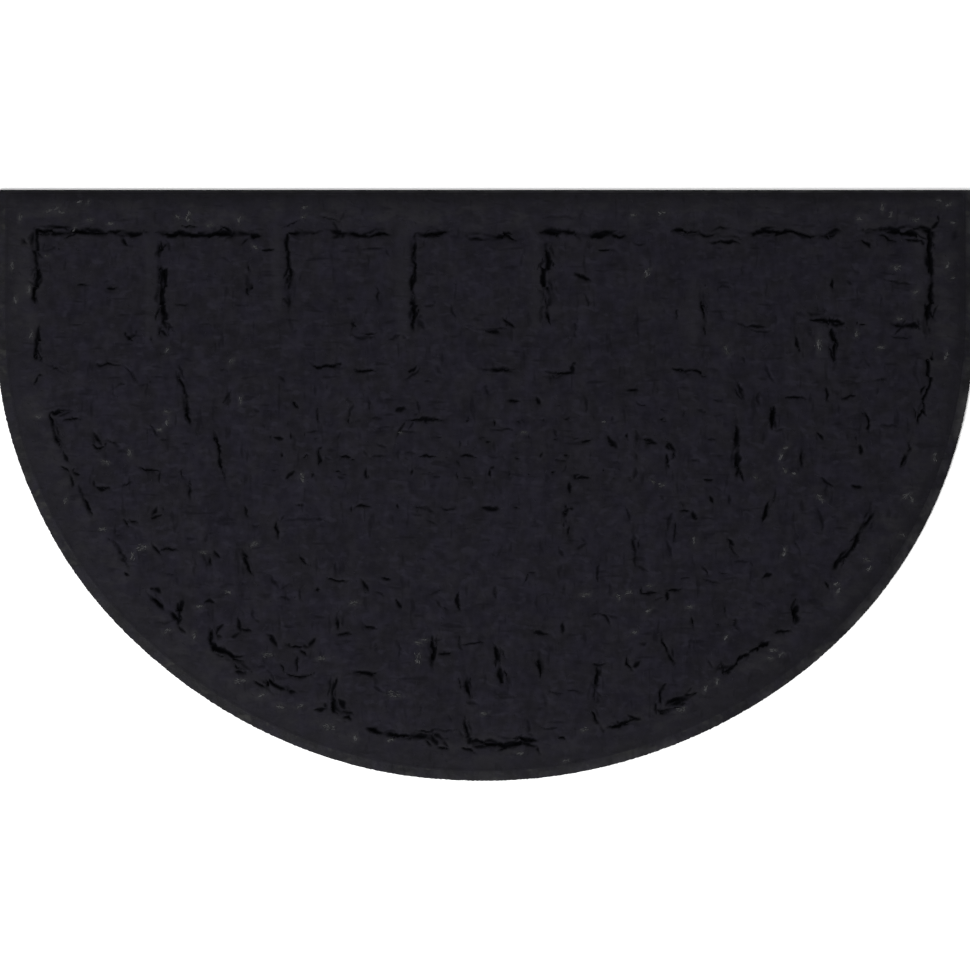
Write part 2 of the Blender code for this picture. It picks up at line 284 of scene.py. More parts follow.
smudge_across = noise_at(face, where, 230.0, 1.5, 0.5, (0.5, 1.0, 1.0))
smudge_along = noise_at(face, where, 230.0, 1.5, 0.5, (1.0, 0.5, 1.0))
smudge = math_node(face, "MULTIPLY", math_node(face, "ADD", smudge_across, smudge_along), 0.5)
light = math_node(face, "MULTIPLY", patch, ranged(face, smudge, 0.36, 0.64, 0.86, 1.14))
colour = mixed(face, 1.0, tint, light, "MULTIPLY")
pale = ranged(face, noise_at(face, where, 170.0, 1.0, 0.5, (0.7, 1.0, 1.0)), 0.57, 0.75, 0.0, 1.0)
scratch_across = noise_at(face, where, 205.0, 1.0, 0.5, (0.28, 1.0, 1.0))
scratch_along = noise_at(face, where, 205.0, 1.0, 0.5, (1.0, 0.28, 1.0))
scratch = math_node(face, "MINIMUM", scratch_across, scratch_along)
dark = ranged(face, scratch, 0.20, 0.37, 1.0, 0.0)
pale = math_node(face, "MULTIPLY", pale, face_in.outputs["Flecks"])
dark = math_node(face, "MULTIPLY", dark, face_in.outputs["Flecks"])
colour = mixed(face, pale, colour, face_in.outputs["Pale"])
colour = mixed(face, dark, colour, face_in.outputs["Dark"])
height = math_node(face, "SUBTRACT", math_node(face, "ADD", smudge, pale), dark)
add_node(face, "NodeGroupOutput", {"Color": colour, "Height": height})


def own(tree, name):
    """The piece's own attribute of this name, from 0 to 1, read in a material."""
    return add_node(tree, "ShaderNodeAttribute", attribute_name=name).outputs["Fac"]


def new_finish(name):
    """A new material, its node tree and its shader."""
    finish = bpy.data.materials.new(name)
    finish.use_nodes = True
    return finish, finish.node_tree, finish.node_tree.nodes["Principled BSDF"]


def object_place(tree):
    """The place on the piece that a material is read at, in the piece's own axes."""
    return add_node(tree, "ShaderNodeTexCoord").outputs["Object"]


RIM_GREY = (0.0073, 0.0071, 0.0082, 1)
RIM_VIOLET = (0.0072, 0.0068, 0.0096, 1)
RIM_DUST_AND_HIGHLIGHT = (0.0300, 0.0297, 0.0315, 1)
rubber_finish, tree, shader = new_finish("crumb_rubber")
here = object_place(tree)
rim_shades = {
    "Vector": here,
    "Grey": RIM_GREY,
    "Violet": RIM_VIOLET,
    "Pale": (0.0180, 0.0180, 0.0170, 1),
    "Dark": (0.0045, 0.0045, 0.0050, 1),
    "Flecks": 0.6,
}
crumb = add_node(tree, "ShaderNodeGroup", rim_shades, node_tree=face)
# The rim is painted paler in patches where it has dust and painted highlight.
patches = ranged(tree, noise_at(tree, here, 60.0, 3.0), 0.38, 0.70, 0.05, 0.85)
patches = math_node(tree, "MULTIPLY", own(tree, "dust"), patches)
height = math_node(tree, "ADD", noise_at(tree, here, 700.0), crumb.outputs["Height"])
grain = {"Strength": 0.6, "Distance": 0.35 * MM, "Height": height}
rim_look = {
    "Base Color": mixed(tree, patches, crumb.outputs["Color"], RIM_DUST_AND_HIGHLIGHT),
    "Roughness": ranged(tree, noise_at(tree, here, 900.0), 0.3, 0.7, 0.60, 0.80),
    "Specular IOR Level": RUBBER_SPECULAR,
    "Normal": add_node(tree, "ShaderNodeBump", grain).outputs["Normal"],
}
feed(tree, shader, rim_look)
rubber.data.materials.append(rubber_finish)
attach(rubber, "root")
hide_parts("rubber_backing")


# Carpet face
# Needled polypropylene felt, near black with a blue cast, fused to the rubber while the mould
# sinks the joints and cracks of a stone pattern into it. Its edge is pressed down to the rim.
CARPET_CELL = 3.3 * MM
CARPET_UNDERSIDE = 2.5 * MM
FOOT_GAP = 0.02 * MM
EDGE_REACH = 0.25 * MM
Shoulder = namedtuple("Shoulder", "inset height")
CARPET_SHOULDER = (
    Shoulder(0.0 * MM, 5.3 * MM),
    Shoulder(1.5 * MM, 5.9 * MM),
    Shoulder(4.0 * MM, 6.8 * MM),
    Shoulder(8.0 * MM, 7.4 * MM),
    Shoulder(13.0 * MM, 7.7 * MM),
)
FACE_TOP = CARPET_SHOULDER[-1].height
SHALLOWEST_JOINT = 0.25 * MM
JOINTS_INSET = 14 * MM
REFINE_REACH = 0.85
TRIM_SHARE = 0.45
FELT_SMOOTH = math.radians(60)
FELT_SPECULAR = 0.04

solid_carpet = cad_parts["carpet_face"]
carpet_low, carpet_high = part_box("carpet_face")
edge_points = np.array([v.co for v in solid_carpet.data.vertices])
edge_points = edge_points[edge_points[:, 2] < carpet_low.z + FOOT_GAP][:, :2]
edge_points = np.unique(np.round(edge_points, 6), axis=0)
edge_points = edge_points[np.argsort(np.arctan2(edge_points[:, 1], edge_points[:, 0]))]
edge_way = np.roll(edge_points, -1, axis=0) - np.roll(edge_points, 1, axis=0)
edge_out = np.stack((edge_way[:, 1], -edge_way[:, 0]), axis=1)
edge_size = np.linalg.norm(edge_out, axis=1)[:, None]
edge_points += EDGE_REACH * edge_out / edge_size
edge_out /= edge_size


def to_edge(points, chunk=20000):
    """How far inside the carpet's edge each point is, and the nearest point on that edge."""
    runs = np.roll(edge_points, -1, axis=0) - edge_points
    lengths = (runs**2).sum(axis=1)
    distance = np.empty(len(points))
    nearest = np.empty((len(points), 2))
    for first in range(0, len(points), chunk):
        part = points[first : first + chunk, :2]
        offset = part[:, None, :] - edge_points[None]
        along = np.clip((offset * runs[None]).sum(axis=2) / lengths[None], 0, 1)
        foot = edge_points[None] + along[..., None] * runs[None]
        gap = np.linalg.norm(part[:, None, :] - foot, axis=2)
        best = gap.argmin(axis=1)
        rows = np.arange(len(part))
        side = runs[best, 0] * offset[rows, best, 1] - runs[best, 1] * offset[rows, best, 0]
        distance[first : first + chunk] = gap[rows, best] * np.sign(side)
        nearest[first : first + chunk] = foot[rows, best]
    return distance, nearest


width = carpet_high.x - carpet_low.x
depth = carpet_high.y - carpet_low.y
bpy.ops.object.select_all(action="DESELECT")
bpy.ops.mesh.primitive_grid_add(
    x_subdivisions=round(width / CARPET_CELL) + 2,
    y_subdivisions=round(depth / CARPET_CELL) + 2,
    size=1,
    location=(0, (carpet_high.y + carpet_low.y) / 2, 0),
)
carpet = bpy.context.object
carpet.name = "carpet"
carpet.data.name = "carpet"
carpet.scale = (width + 2 * CARPET_CELL, depth + 2 * CARPET_CELL, 1)
bpy.ops.object.transform_apply(location=True, rotation=False, scale=True)


def choose_open_edges():
    """Selects in edit mode the edges where the open sheet ends."""
    bpy.ops.mesh.select_mode(type="EDGE")
    bpy.ops.mesh.select_all(action="DESELECT")
    bpy.ops.mesh.select_non_manifold()


def chosen_points(obj):
    """True for each point that is selected, once edit mode is left."""
    go_to("OBJECT")
    return rows_of(obj.data.vertices, "select", 1, bool)[:, 0]


# The sheet is trimmed to the half round: points past the edge go, and the last row moves onto it.
choose(carpet, "VERT", to_edge(places(carpet))[0] < -TRIM_SHARE * CARPET_CELL)
bpy.ops.mesh.delete(type="VERT")
choose_open_edges()
on_edge = chosen_points(carpet)
sheet_points = places(carpet)
inside, foot = to_edge(sheet_points)
sheet_points[on_edge, :2] = foot[on_edge]
carpet.data.vertices.foreach_set("co", sheet_points.ravel())

# Cracks that the solid leaves out: the middle of each, its length, the way it runs in degrees
# from +X, its width and its depth, in mm. The bow is added further down.
Crack = namedtuple("Crack", "x y length heading width depth bow", defaults=(0.0,))
CRACK_ROWS = (
    (-257, 43, 12, -60, 3.0, 1.2), (-279, 2, 10, 20, 3.0, 1.2), (-89, -109, 12, -20, 3.4, 1.4),
    (-9, -123.5, 20, 0, 3.0, 1.2), (43.5, -114, 12, 0, 4.0, 1.5), (60, -111, 10, 90, 3.6, 1.4),
    (87, -138, 15, 0, 3.4, 1.3), (92, -104, 12, -45, 3.2, 1.3), (219, -70, 8, 30, 5.0, 1.6),
    (265, 2, 14, -40, 2.8, 1.2), (99, 33, 5, 0, 3.4, 1.4), (128, 33, 6, 20, 3.4, 1.4),
    (142, 31, 6, -70, 3.2, 1.4), (-141, -57, 11, -48, 3.2, 1.3), (-186, -20, 10, -67, 3.2, 1.3),
    (89, -68, 15, 90, 2.8, 1.1), (32, -71, 10, 60, 2.8, 1.1), (145, -37, 20, 90, 2.6, 1.0),
    (193, -49, 15, -60, 2.6, 1.1), (171, -66, 10, -60, 2.8, 1.1), (7, 122, 18, 0, 2.6, 1.0),
    (147, 134, 12, 90, 2.8, 1.1), (210, 122, 15, 0, 3.2, 1.3), (-274, 115, 8, 30, 2.8, 1.1),
    (-277, 87, 14, -54, 2.6, 1.0), (-200, 69, 12, 60, 3.8, 1.2), (-56, 88, 16, 37, 2.8, 1.1),
    (-45, 50, 20, 0, 2.6, 1.3), (-130, 55, 12, 90, 2.8, 1.2), (-94, -17, 12, 0, 2.8, 1.2),
    (-50, -17, 12, 0, 2.8, 1.1), (7, -18, 10, 0, 3.2, 1.3), (-144, -15, 8, 0, 2.8, 1.1),
    (-121, 207, 17, -12, 2.7, 0.9), (58, 208, 30, 0, 2.7, 0.6), (350, 203, 8, 45, 4.3, 1.5),
    (-358, 189, 6, 20, 3.9, 1.5), (-335, 182, 15, 0, 2.3, 0.9), (-280, 189, 7, -50, 4.3, 1.5),
    (-245, 186, 9, -62, 3.1, 0.9), (-169, 183, 11, 3, 2.7, 1.5), (-86, 183, 17, 3, 3.1, 0.9),
    (53, 183, 10, -80, 3.5, 0.9), (88, 189, 26, -3, 3.5, 0.9), (94, 183, 11, 0, 2.7, 1.5),
    (120, 189, 7, 0, 2.7, 0.9), (296, 187, 10, -40, 4.3, 1.5), (317, 196, 16, -3, 4.7, 1.5),
    (332, 191, 13, -3, 3.9, 1.5), (366, 194, 13, -88, 2.3, 0.9), (-202, 175, 9, -30, 3.9, 0.6),
    (-185, 156, 14, -85, 6.2, 0.9), (-91, 174, 11, -85, 3.1, 0.6), (76, 162, 14, -25, 5.1, 1.5),
    (186, 154, 10, -5, 3.5, 0.9), (198, 167, 9, -85, 3.1, 0.6), (269, 156, 7, -88, 3.5, 1.5),
    (282, 157, 5, -60, 3.9, 0.9), (320, 158, 23, -12, 3.1, 0.9), (-236, 140, 12, 0, 2.3, 0.9),
    (-191, 141, 10, 0, 2.3, 0.6), (-117, 144, 7, -20, 3.1, 0.6), (-104, 145, 9, -10, 3.1, 0.6),
    (-101, 130, 8, -80, 3.1, 0.6), (-43, 140, 7, 5, 3.5, 0.9), (-24, 135, 13, -75, 3.5, 0.9),
    (-6, 129, 9, -10, 3.9, 0.6), (18, 126, 12, -35, 3.9, 1.5), (78, 144, 10, -80, 3.9, 0.9),
    (246, 134, 12, -25, 5.4, 0.6), (256, 133, 12, -5, 3.1, 0.9), (-276, 114, 7, -35, 3.1, 1.5),
    (-259, 115, 5, -70, 2.7, 0.9), (-253, 120, 13, -88, 6.2, 0.6), (-210, 108, 9, -90, 2.3, 0.6),
    (-150, 125, 10, -85, 6.2, 0.6), (-94, 117, 20, -4, 3.9, 0.9), (-70, 115, 11, 20, 3.9, 0.9),
    (-50, 125, 10, -60, 5.4, 0.9), (6, 119, 12, -10, 3.9, 1.5), (119, 125, 23, -85, 4.7, 0.6),
    (198, 123, 13, -15, 3.5, 0.9), (214, 120, 19, -3, 2.7, 0.9), (243, 111, 9, -65, 4.3, 1.5),
    (251, 119, 9, -80, 7.0, 0.6), (293, 124, 7, 0, 2.0, 1.5), (323, 116, 16, -5, 2.7, 0.9),
    (342, 122, 20, -85, 6.2, 0.6), (359, 104, 6, -80, 3.5, 0.9), (-349, 82, 8, 65, 3.5, 1.5),
    (-273, 84, 11, -60, 2.7, 0.9), (-255, 92, 11, -2, 2.3, 0.6), (-253, 84, 12, 3, 2.3, 0.6),
    (-235, 89, 14, -70, 2.7, 0.9), (-157, 83, 7, -50, 3.5, 0.9), (-134, 94, 7, -40, 4.7, 0.6),
    (-116, 93, 9, -8, 2.7, 0.9), (-57, 91, 10, 45, 3.9, 1.5), (-45, 80, 7, 0, 2.3, 0.9),
    (-35, 91, 9, -70, 5.1, 0.6), (4, 91, 16, -2, 2.7, 0.9), (39, 84, 7, -80, 3.5, 0.6),
    (67, 91, 7, 80, 5.1, 1.5), (200, 98, 5, -60, 3.5, 0.9), (221, 87, 16, -60, 4.3, 0.9),
    (282, 80, 16, 0, 2.2, 0.6), (296, 95, 9, -50, 3.9, 0.6), (307, 82, 10, 3, 3.5, 0.9),
    (338, 88, 22, -88, 5.4, 0.6), (-289, 74, 13, -85, 3.5, 0.6), (-200, 68, 16, -88, 5.4, 0.9),
    (-177, 59, 6, -20, 4.7, 0.9), (-147, 63, 8, -55, 3.9, 1.5), (-105, 58, 12, 70, 3.5, 0.9),
    (-90, 63, 12, -80, 2.7, 0.9), (-84, 52, 10, -4, 2.3, 0.9), (-65, 59, 8, 10, 5.4, 1.5),
    (-52, 62, 9, -88, 3.9, 0.9), (-47, 51, 30, 0, 3.5, 1.5), (1, 73, 6, -50, 3.9, 0.9),
    (22, 66, 10, 0, 4.3, 1.5), (41, 66, 6, -60, 4.7, 1.5), (78, 63, 13, -85, 3.9, 0.9),
    (114, 74, 10, 0, 3.5, 1.5), (121, 65, 10, -20, 2.7, 0.9), (139, 59, 7, 0, 3.1, 0.9),
    (167, 57, 7, -30, 4.7, 0.9), (181, 67, 9, 0, 2.7, 0.9), (214, 68, 10, -85, 4.7, 0.9),
    (241, 66, 19, 2, 3.0, 1.5), (265, 70, 11, -85, 3.5, 1.5), (282, 68, 13, 8, 2.7, 1.5),
    (341, 74, 7, 70, 4.3, 1.5), (-321, 50, 16, 0, 2.0, 1.4), (-301, 31, 10, -12, 3.1, 1.5),
    (-160, 37, 7, -5, 3.9, 1.5), (-149, 35, 12, -90, 5.4, 0.6), (-134, 43, 12, 0, 2.0, 0.9),
    (-99, 50, 7, 0, 3.1, 0.6), (-80, 31, 8, -20, 3.9, 0.9), (-78, 45, 16, 0, 2.3, 0.6),
    (-60, 42, 12, -3, 4.3, 0.9), (14, 44, 18, 0, 2.7, 0.9), (54, 41, 7, -60, 4.3, 0.9),
    (79, 35, 10, 8, 3.5, 1.5), (99, 34, 12, -50, 5.8, 1.5), (117, 38, 12, -88, 3.1, 0.9),
    (128, 34, 12, -15, 4.7, 1.5), (144, 30, 10, -45, 4.7, 1.5), (176, 35, 6, 0, 2.7, 0.9),
    (260, 38, 7, -60, 4.3, 1.5), (291, 28, 7, -85, 4.3, 1.5), (314, 46, 15, -3, 3.5, 0.9),
    (-326, 13, 8, -30, 3.1, 1.4), (-325, 22, 9, -60, 3.9, 1.5), (-322, 4, 12, -75, 3.1, 1.4),
    (-317, 10, 6, -30, 3.1, 1.4), (-261, 13, 19, -10, 3.1, 1.4), (-151, 9, 10, 50, 4.3, 1.5),
    (-130, 22, 12, -88, 3.9, 1.5), (-111, 7, 6, -10, 3.5, 0.9), (-109, 22, 8, 0, 3.9, 1.5),
    (-92, 10, 8, -85, 4.3, 1.5), (-82, 22, 16, 2, 2.7, 0.9), (-58, 24, 10, 0, 2.3, 0.6),
    (-52, 12, 9, 0, 7.0, 0.6), (-45, 22, 12, -2, 3.5, 1.5), (-38, 7, 7, 0, 3.5, 0.9),
    (-21, 17, 5, -60, 3.5, 0.9), (-14, 6, 7, -20, 3.5, 0.9), (-13, 22, 12, -3, 3.5, 1.5),
    (4, 10, 7, -85, 4.3, 1.5), (7, 23, 12, 0, 2.3, 0.6), (16, 10, 11, -15, 3.1, 0.6),
    (48, 6, 8, -85, 6.2, 0.6), (58, 20, 10, -3, 2.7, 0.9), (76, 6, 10, 2, 3.5, 1.5),
    (101, 19, 9, 0, 2.3, 0.6), (101, 10, 7, -85, 2.3, 0.6), (116, 9, 10, 80, 4.3, 0.9),
    (141, 20, 9, -85, 5.1, 1.5), (162, 20, 7, 10, 2.7, 0.9), (173, 6, 8, 0, 3.5, 1.5),
    (-297, -1, 12, -3, 3.1, 1.5), (-256, -24, 12, 20, 3.1, 1.4), (-96, -17, 13, 0, 4.3, 1.5),
    (-46, -18, 15, -25, 3.9, 0.9), (-28, -17, 12, 0, 3.1, 0.9), (4, -18, 13, -5, 5.1, 1.5),
    (63, -21, 9, 60, 6.2, 1.5), (66, -1, 9, -85, 4.3, 1.5), (111, -23, 14, -70, 3.5, 0.9),
    (138, -10, 5, -45, 3.1, 0.6), (155, -20, 9, 0, 3.5, 1.5), (162, -23, 7, -70, 5.4, 1.5),
    (176, -11, 7, -60, 5.1, 1.5), (189, -11, 9, -80, 3.9, 0.9), (225, -8, 13, 80, 3.5, 0.9),
    (246, -16, 11, -85, 5.4, 0.6), (289, -1, 10, -15, 4.3, 1.5), (-279, -29, 7, -60, 2.7, 1.4),
    (-273, -28, 8, -15, 2.7, 1.4), (-255, -49, 10, -45, 3.5, 1.4), (-158, -26, 7, 60, 3.1, 0.9),
    (-143, -29, 23, 0, 3.9, 0.6), (-129, -25, 9, 5, 2.7, 0.9), (-42, -28, 9, -30, 3.5, 0.9),
    (67, -36, 19, -85, 9.3, 0.6), (74, -46, 9, 30, 3.9, 0.9), (142, -49, 15, -75, 5.1, 0.9),
    (144, -28, 16, 75, 4.3, 0.9), (172, -25, 16, -3, 2.3, 0.6), (190, -45, 9, -50, 5.1, 1.5),
    (260, -27, 19, -80, 4.3, 0.9), (269, -25, 10, 0, 2.7, 0.6), (-278, -68, 7, -35, 4.3, 1.5),
    (-245, -51, 15, -3, 2.7, 1.4), (-208, -53, 7, -50, 3.5, 1.4), (-116, -65, 10, -88, 4.3, 0.9),
    (-115, -72, 16, -10, 2.7, 1.5), (-76, -71, 9, 0, 2.7, 1.5), (60, -51, 9, -60, 4.7, 0.9),
    (71, -55, 10, -5, 2.7, 0.6), (123, -64, 10, -30, 4.3, 0.9), (176, -74, 12, -10, 3.5, 0.9),
    (199, -59, 12, 0, 2.7, 0.9), (-255, -81, 7, -40, 4.3, 1.5), (-214, -92, 8, 3, 3.9, 1.5),
    (-179, -99, 10, -85, 4.3, 0.9), (-164, -75, 15, -55, 3.5, 0.9), (-155, -87, 10, -15, 2.7, 0.9),
    (-144, -85, 10, -85, 2.7, 0.9), (-130, -81, 4, 0, 2.7, 1.5), (-94, -78, 12, -60, 4.3, 1.5),
    (-82, -85, 6, -20, 2.7, 0.9), (-67, -91, 8, -60, 4.3, 1.5), (-35, -92, 9, -60, 4.3, 0.9),
    (-18, -90, 16, -85, 4.3, 1.5), (9, -83, 11, -88, 4.7, 0.9), (48, -87, 12, 0, 2.7, 0.6),
    (63, -81, 11, -85, 4.7, 0.6), (127, -83, 11, 3, 3.9, 1.5), (141, -85, 8, 80, 4.3, 1.5),
    (147, -80, 12, 5, 3.5, 1.5), (257, -91, 14, -10, 7.8, 0.6), (265, -78, 7, -60, 3.9, 1.5),
    (-238, -103, 14, -88, 5.4, 1.5), (-205, -112, 10, 60, 4.3, 1.4), (-191, -108, 13, -80, 4.3, 1.5),
    (-186, -113, 10, -8, 3.5, 1.5), (-166, -120, 12, -55, 5.1, 1.5), (-160, -106, 13, -88, 4.3, 0.6),
    (-134, -122, 9, 50, 5.8, 1.5), (-129, -102, 10, 0, 3.1, 0.6), (-110, -115, 12, 3, 3.5, 1.5),
    (-95, -109, 9, -85, 6.2, 0.6), (-18, -124, 10, -85, 4.3, 0.9), (123, -123, 6, 15, 3.1, 0.9),
    (194, -106, 7, -85, 3.9, 0.9), (231, -114, 12, 8, 3.1, 1.5), (-195, -131, 15, -5, 4.3, 1.5),
    (-191, -145, 7, -30, 4.3, 1.5), (-146, -126, 9, 0, 3.5, 1.5), (-146, -138, 12, -88, 2.7, 1.5),
    (-144, -145, 22, 0, 2.7, 1.5), (-141, -130, 6, -45, 3.5, 1.5), (-68, -128, 13, -90, 2.7, 0.9),
    (-31, -130, 12, 5, 3.1, 1.5), (117, -139, 7, 40, 5.1, 1.5), (175, -138, 7, -45, 3.5, 0.9),
    (-174, -154, 12, -25, 2.7, 1.5), (-165, -151, 10, -80, 3.1, 0.9), (-150, -160, 6, 0, 3.5, 1.5),
    (-129, -173, 10, 5, 3.9, 1.5), (-117, -155, 13, 75, 5.1, 1.5), (-112, -169, 10, -60, 5.4, 1.5),
    (-85, -152, 12, -85, 5.4, 0.6), (-83, -158, 10, -35, 4.3, 0.9), (-10, -169, 10, -5, 3.5, 0.9),
    (15, -163, 13, 0, 4.7, 0.6), (45, -167, 11, -80, 5.4, 0.6), (55, -161, 12, -10, 2.7, 0.9),
    (68, -161, 13, 0, 2.7, 0.9), (-40, -197, 10, -50, 4.3, 1.5), (-31, -189, 18, -3, 2.7, 0.9),
    (33, -187, 10, -85, 3.5, 0.9), (50, -187, 15, 2, 2.7, 0.9), (60, -197, 6, -10, 4.3, 1.5),
    (108, -185, 7, 5, 3.5, 1.5), (116, -180, 10, -20, 5.1, 1.5), (-32, -203, 10, -8, 3.5, 1.5),
    (33, -200, 15, -12, 4.3, 1.5),
)
FAINT_CRACKS = [Crack(*row) for row in CRACK_ROWS]

# Nicks worn into the felt at random: how many there are in each patch of the mat, the patch's
# sides, and how long, wide and deep they are, in mm.
Nicks = namedtuple("Nicks", "count left right low high length width depth")
WORN_NICKS = (
    Nicks(14, -180, 165, 2, 62, (4, 9), (1.8, 3.0), (0.4, 0.8)),
    Nicks(14, -190, 190, -60, 0, (5, 12), (2.2, 4.0), (0.3, 0.6)),
    Nicks(30, -330, 330, 90, 190, (4, 12), (1.8, 3.0), (0.3, 0.7)),
    Nicks(30, -320, -190, -120, 90, (4, 12), (1.8, 3.4), (0.4, 0.9)),
    Nicks(20, 180, 320, -100, 90, (4, 11), (1.8, 3.2), (0.3, 0.8)),
    Nicks(30, -220, 200, -190, -70, (4, 11), (2.0, 3.4), (0.3, 0.9)),
)
NICK_SLANT = 16
NICK_INSET = 30 * MM
FELT_SEED = 5
HOOK_SHARE = 0.35
HOOK_LENGTH = (0.35, 0.60)
HOOK_TURN = (45, 100)
HOOK_FADE = 0.8
BOW_SHARE = 0.10


def sized_crack(dice, x, y, heading, spans):
    """A crack at x and y, its length, width and depth drawn from their spans."""
    length, width, depth = [dice.uniform(*span) for span in (spans.length, spans.width, spans.depth)]
    return Crack(x, y, length, heading, width, depth)


def worn_nicks(dice):
    """The nicks of every patch, most of them close to lying across or along the mat."""
    found = []
    for patch in WORN_NICKS:
        for number in range(patch.count):
            x = dice.uniform(patch.left, patch.right)
            y = dice.uniform(patch.low, patch.high)
            heading = dice.choice((0, 90)) + dice.gauss(0, NICK_SLANT)
            found.append(sized_crack(dice, x, y, heading, patch))
    spots = np.array([(crack.x * MM, crack.y * MM) for crack in found])
    return [crack for crack, room in zip(found, to_edge(spots)[0]) if room > NICK_INSET]


def bowed_and_hooked(cracks, dice):
    """The cracks, each bowed a little, and some with a shorter crack hooked onto one end."""
    found = []
    for crack in cracks:
        found.append(crack._replace(bow=crack.length * dice.gauss(0, BOW_SHARE)))
        if dice.random() > HOOK_SHARE:
            continue
        side = dice.choice((-1, 1))
        turn = math.radians(crack.heading)
        end_x = crack.x + side * crack.length / 2 * math.cos(turn)
        end_y = crack.y + side * crack.length / 2 * math.sin(turn)
        heading = crack.heading + dice.choice((-1, 1)) * dice.uniform(*HOOK_TURN)
        length = crack.length * dice.uniform(*HOOK_LENGTH)
        x = end_x + side * length / 2 * math.cos(math.radians(heading))
        y = end_y + side * length / 2 * math.sin(math.radians(heading))
        found.append(Crack(x, y, length, heading, crack.width * HOOK_FADE, crack.depth * HOOK_FADE))
    return found


def surface_of(obj):
    """The mesh as a surface that rays can be cast on."""
    return BVHTree.FromPolygons(
        [tuple(v.co) for v in obj.data.vertices], [tuple(p.vertices) for p in obj.data.polygons]
    )


def height_on(surface, x, y):
    """The height of a surface at x and y, from a ray cast down on it."""
    hit = surface.ray_cast(Vector((x, y, 1)), Vector((0, 0, -1)))[0]
    return None if hit is None else hit.z


solid_surface = surface_of(solid_carpet)


def joint_depth(x, y):
    """How deep the solid carpet is sunk at a point."""
    height = height_on(solid_surface, x, y)
    return 0.0 if height is None else max(0.0, FACE_TOP - height)


def tree_of(points):
    """The points by their x and y, so that the nearest one is quickly found."""
    found = KDTree(len(points))
    for number, point in enumerate(points):
        found.insert((point[0], point[1], 0), number)
    found.balance()
    return found


# A grid of trial places over the mat, closer than its own points, finds all the joints.
TRIAL_STEP = 1.5 * MM
trial_x = np.arange(carpet_low.x, carpet_high.x, TRIAL_STEP)
trial_y = np.arange(carpet_low.y, carpet_high.y, TRIAL_STEP)
trials = np.stack(np.meshgrid(trial_x, trial_y), axis=-1).reshape(-1, 2)
trials = np.column_stack((trials, np.zeros(len(trials))))
inside, foot = to_edge(trials)
trials = trials[inside > JOINTS_INSET]
inside = inside[inside > JOINTS_INSET]
solid_depths = np.array([joint_depth(x, y) for x, y, z in trials])

# The lips of the joints are torn: slits lie along them and fork off, on both sides.
Tears = namedtuple("Tears", "count slant off length width depth")
LIP_TEARS = Tears(190, 15, 2.6, (5, 15), (1.5, 3.2), (0.5, 1.5))
TEAR_DEPTH = 1.7 * MM
TEAR_SIGHT = 9 * MM


def torn_lips(dice):
    """Slits beside the deep joints, each close to the way that its joint runs there."""
    deep = trials[solid_depths > TEAR_DEPTH]
    near = tree_of(deep)
    found = []
    for number in range(LIP_TEARS.count):
        spot = deep[dice.randrange(len(deep))]
        close = np.array([place[:2] for place, index, gap in near.find_range(spot, TEAR_SIGHT)])
        close -= close.mean(axis=0)
        way = np.linalg.eigh(close.T @ close)[1][:, 1]
        off = dice.gauss(0, LIP_TEARS.off)
        heading = math.degrees(math.atan2(way[1], way[0])) + dice.gauss(0, LIP_TEARS.slant)
        x = spot[0] / MM - off * way[1]
        y = spot[1] / MM + off * way[0]
        found.append(sized_crack(dice, x, y, heading, LIP_TEARS))
    return found


felt_dice = random.Random(FELT_SEED)
CRACKS = bowed_and_hooked(FAINT_CRACKS + worn_nicks(felt_dice), felt_dice)
CRACKS += torn_lips(felt_dice)

# How the mould leaves the joints ragged: the size of the lumps, and how far they shift a lip.
Ragged = namedtuple("Ragged", "size shift")
JOINT_RAGGED = (Ragged(11 * MM, 1.2 * MM), Ragged(5 * MM, 1.2 * MM), Ragged(2.2 * MM, 0.6 * MM))
STRAND_RAGGED = (Ragged(26 * MM, 5.5 * MM), Ragged(6 * MM, 1.6 * MM))
STRAND_SHARE = 0.8
STRAND_LEVEL = 0.42
OPEN_LUMP = 12 * MM
OPEN_LEVEL = 0.9
OPEN_SWING = 1.7
OPEN_SPAN = (0.15, 1.3)
STEP_SHIFT = 1.7 * MM
STEP_LONG = 34 * MM
STEP_SHORT = 14 * MM
CRACK_LENGTH_SHARE = 1.30
CRACK_WIDTH_SHARE = 0.85
CRACK_POINT = 1.6
CRACK_SIDE = 1.2
CRACK_GAIN = 1.5


def plan_noise(x, y, size, layer):
    """Smooth noise from -1 to 1 over the plan, with lumps of this size. Each use has its layer."""
    return noise.noise(Vector((x / size, y / size, layer)))


def shifted(x, y, ragged, layer):
    """The place from which a ragged joint or crack is read at x and y."""
    for step, lump in enumerate(ragged):
        x += lump.shift * plan_noise(x, y, lump.size, layer + 3 * step)
        y += lump.shift * plan_noise(y, x, lump.size, layer + 3 * step + 1.5)
    return x, y


def broken(x, y, layer):
    """The place moved by a jump from one short stretch of a joint to the next."""
    step_x = noise.cell(Vector((x / STEP_LONG, y / STEP_SHORT, layer)))
    step_y = noise.cell(Vector((x / STEP_SHORT, y / STEP_LONG, layer + 7)))
    return x + STEP_SHIFT * step_x, y + STEP_SHIFT * step_y


def turned(offset, heading):
    """Offsets from a middle, read along a heading in degrees from +X and across it."""
    turn = math.radians(heading)
    along = offset[:, 0] * math.cos(turn) + offset[:, 1] * math.sin(turn)
    across = offset[:, 1] * math.cos(turn) - offset[:, 0] * math.sin(turn)
    return along, across


